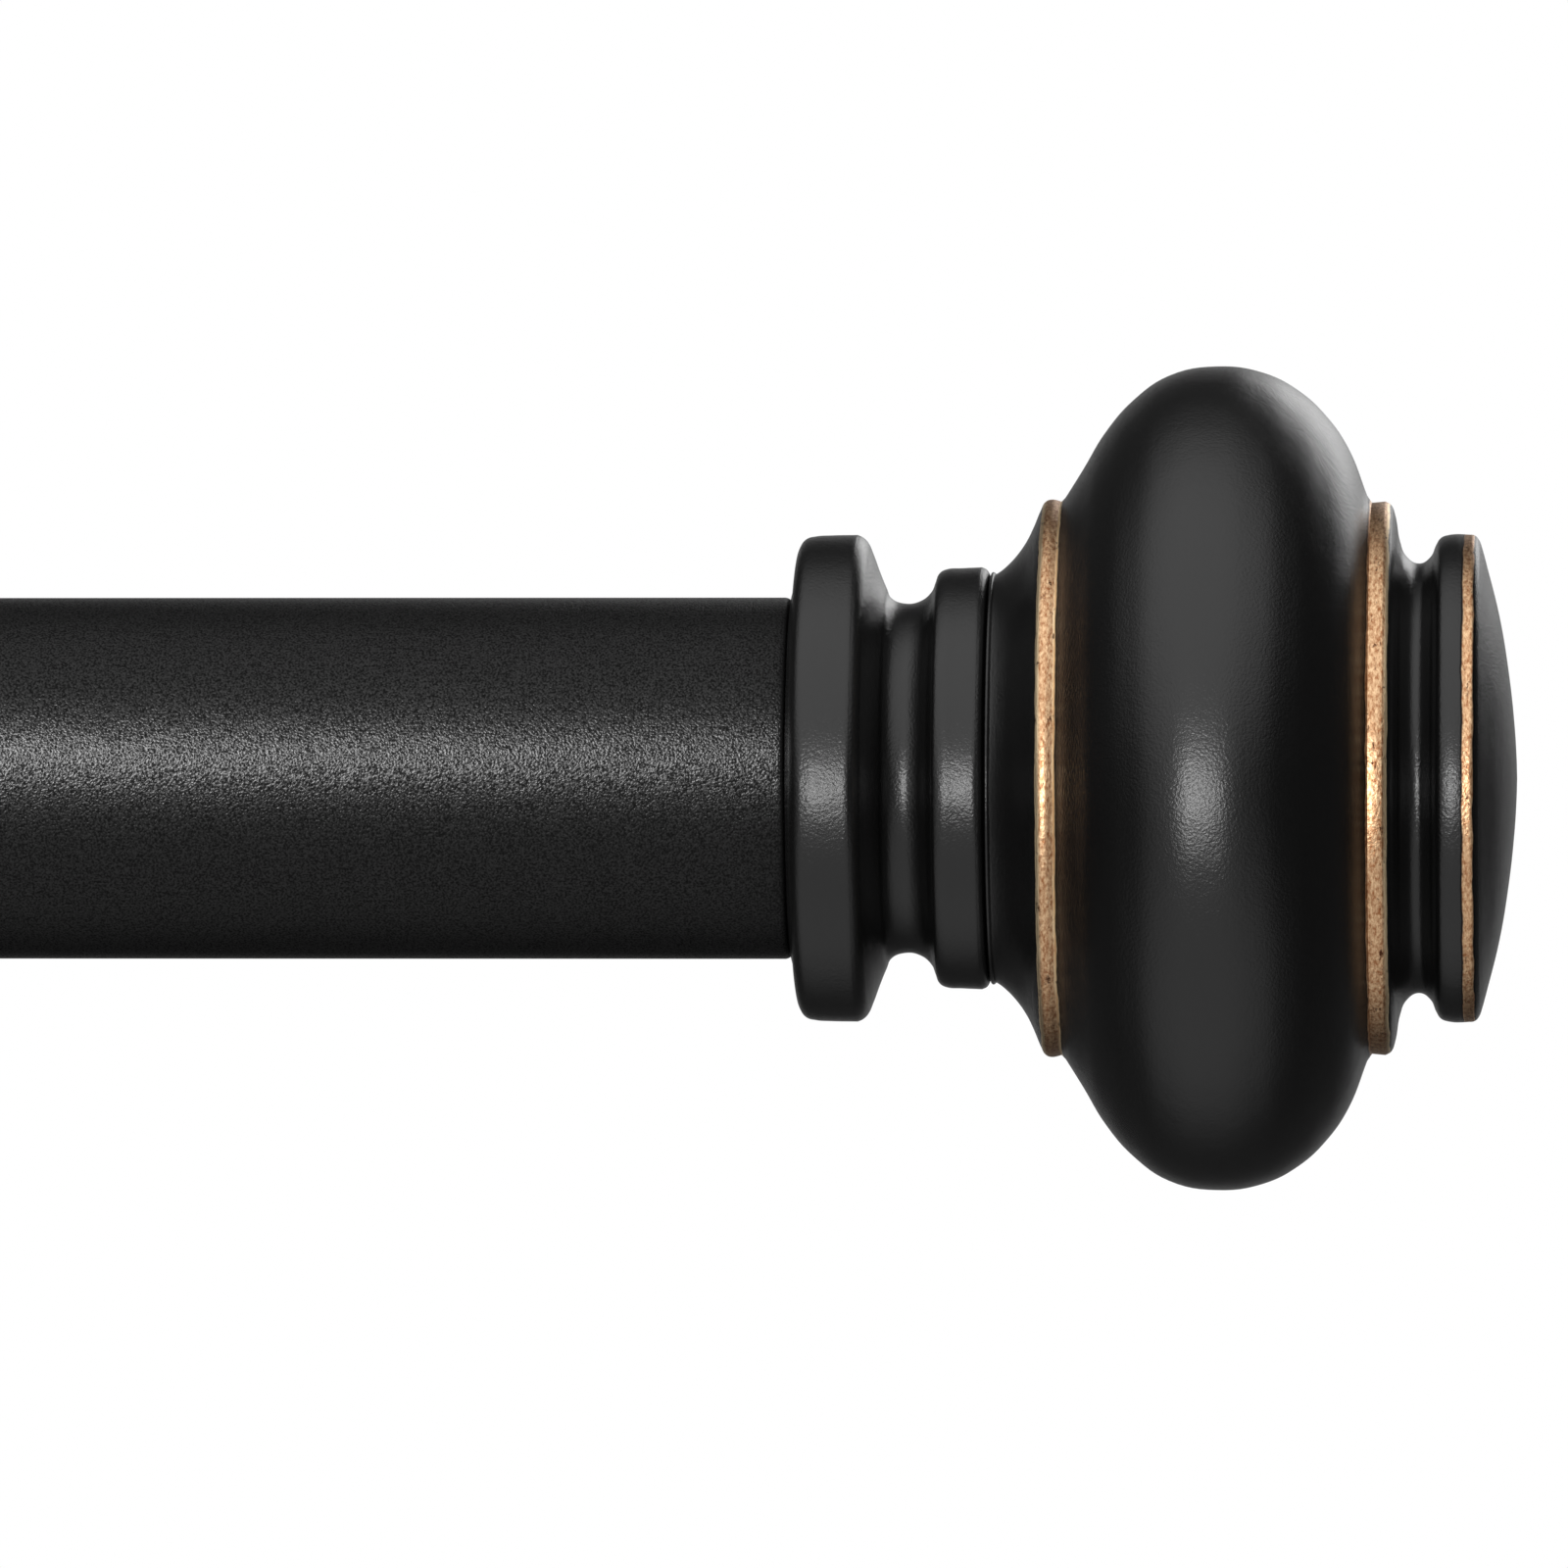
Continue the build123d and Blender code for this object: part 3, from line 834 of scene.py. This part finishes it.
bpy.ops.object.mode_set(mode="OBJECT")
apply_modifier(cradle, "SOLIDIFY", thickness=strip_thick, offset=1.0, use_even_offset=True)
select_only(cradle, "polygons", lambda face: face.normal.z > 0.9 and face.center.z > lip_top - 0.1 * mm)
bpy.ops.object.mode_set(mode="EDIT")
bpy.ops.mesh.bevel(offset=0.6 * mm, segments=4, affect="EDGES")
bpy.ops.object.mode_set(mode="OBJECT")
boss_front = cradle_low.y
cradle_boss = peg(boss_r, (bracket_x, rod_y - cradle_inner - mm, 0), (bracket_x, boss_front, 0))
combine(cradle, cradle_boss, "UNION")
tapped = peg(screw_hole_r, (bracket_x, rod_y, 0), (bracket_x, boss_front - mm, 0))
combine(cradle, tapped, "DIFFERENCE")
break_edges(cradle, 0.25 * mm, 60)
arm_bead = bead(
    "arm_bead", (bracket_x, rod_y + cradle_outer + 0.1 * mm, 0),
    half=arm_half, corner=arm_corner, thick=0.6 * mm, flat=True,
)
joined(cradle, arm_bead)
smooth(cradle, 35)
left_cradle = twin(cradle, "left_cradle_bent")
settle(left_cradle, (-2 * bracket_x, 0, 0), (0, 0, 0))
place_piece(cradle, bracket_coat, "right_arm", "right_cradle")
place_piece(left_cradle, bracket_coat, "left_arm", "left_cradle")

# Thumb screws: M5 zinc-plated shanks pressed into round steel knobs. Each knob has a straight
# knurl, bevelled ends and a shallow dished face, and is plated dark to match the brackets; the
# plating looks like gunmetal and is rubbed bright along the teeth.
knob_metal, tree, shader = material("dark_plated_steel")
place = add(tree, "ShaderNodeTexCoord").outputs["Object"]
smudge = noise(tree, place, 0.35, 4)
tone = blend(tree, smudge, colour("#3a3836"), colour("#4c4947"))
crest = add(tree, "ShaderNodeNewGeometry")
worn = ramp(tree, crest.outputs["Pointiness"], 0, 1, 0.52, 0.60)
bare = blend(tree, worn, tone, colour("#8d8984"))
fine = noise(tree, place, 3, 2)
bump = relief(tree, fine, 0.3, 0.02 * mm)
gloss = ramp(tree, smudge, 0.28, 0.45)
connect(tree, shader, {
    "Base Color": bare, "Metallic": 1.0, "Roughness": gloss, "Normal": bump,
})

# A knob is modelled along Z with its underside at the origin: a disc, stepped in at both ends,
# whose every second side vertex is drawn in for the knurl.
knob_low, knob_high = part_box("right_arm_knob")
knob_r = (knob_high.x - knob_low.x) / 2
knob_len = knob_high.z - knob_low.z
teeth = 40
chamfer = 0.8 * mm
bpy.ops.object.select_all(action="DESELECT")
bpy.ops.mesh.primitive_cylinder_add(
    vertices=2 * teeth, radius=knob_r, depth=knob_len - 2 * chamfer, location=(0, 0, knob_len / 2),
)
knob = bpy.context.object
knob.name = "knob_model"
settle(knob, knob.location.copy(), (0, 0, 0))
select_only(knob, "polygons", lambda face: abs(face.normal.z) > 0.9)
bpy.ops.object.mode_set(mode="EDIT")
bpy.ops.mesh.inset(thickness=chamfer, depth=chamfer)
bpy.ops.object.mode_set(mode="OBJECT")
select_only(knob, "polygons", lambda face: face.normal.z > 0.9)
bpy.ops.object.mode_set(mode="EDIT")
rim = (1.2 * mm, 0)
steep_step = (0.25 * mm, -0.45 * mm)
soft_step = (0.25 * mm, -0.1 * mm)
dish = (3.0 * mm, -0.15 * mm)
for width, rise in (rim, steep_step, soft_step, dish):
    bpy.ops.mesh.inset(thickness=width, depth=rise)
bpy.ops.object.mode_set(mode="OBJECT")


def in_valley(vertex):
    """Every second vertex of the knob's outer wall."""
    step = round(math.atan2(vertex.co.y, vertex.co.x) / math.tau * 2 * teeth)
    return math.hypot(vertex.co.x, vertex.co.y) > knob_r - 0.01 * mm and step % 2 == 1


select_only(knob, "vertices", in_valley)
bpy.ops.object.mode_set(mode="EDIT")
valley = 0.94
bpy.ops.transform.resize(value=(valley, valley, 1.0), center_override=(0, 0, 0))
bpy.ops.mesh.select_all(action="SELECT")
bpy.ops.mesh.normals_make_consistent(inside=False)
bpy.ops.object.mode_set(mode="OBJECT")
socket_depth = 7.05 * mm
combine(knob, peg(screw_hole_r, (0, 0, -mm), (0, 0, socket_depth)), "DIFFERENCE")
smooth(knob, 28)

screw_low, screw_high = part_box("right_arm_screw")
screw_r = (screw_high.x - screw_low.x) / 2
screw_len = screw_high.z - screw_low.z
screw_pitch = 0.8 * mm
screw = threaded("right_arm_screw_threaded", screw_r, screw_pitch, screw_len)
down = (math.pi, 0, 0)
forward = (right_angle, 0, 0)
for side in ("right", "left"):
    for name, turn in (("arm", down), ("cradle", forward)):
        for kind, model, paint, slot in (
            ("knob", knob, knob_metal, "knob_metal"),
            ("screw", screw, zinc, "zinc_plated_steel"),
        ):
            node = f"{side}_{name}_{kind}"
            low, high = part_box(node)
            middle = (low + high) / 2
            start = (middle.x, middle.y, high.z) if name == "arm" else (middle.x, high.y, middle.z)
            finish = "knurled" if kind == "knob" else "threaded"
            piece = twin(model, f"{node}_{finish}_piece")
            settle(piece, start, turn)
            place_piece(piece, paint, node, node)
bpy.data.objects.remove(knob)
bpy.data.objects.remove(screw)
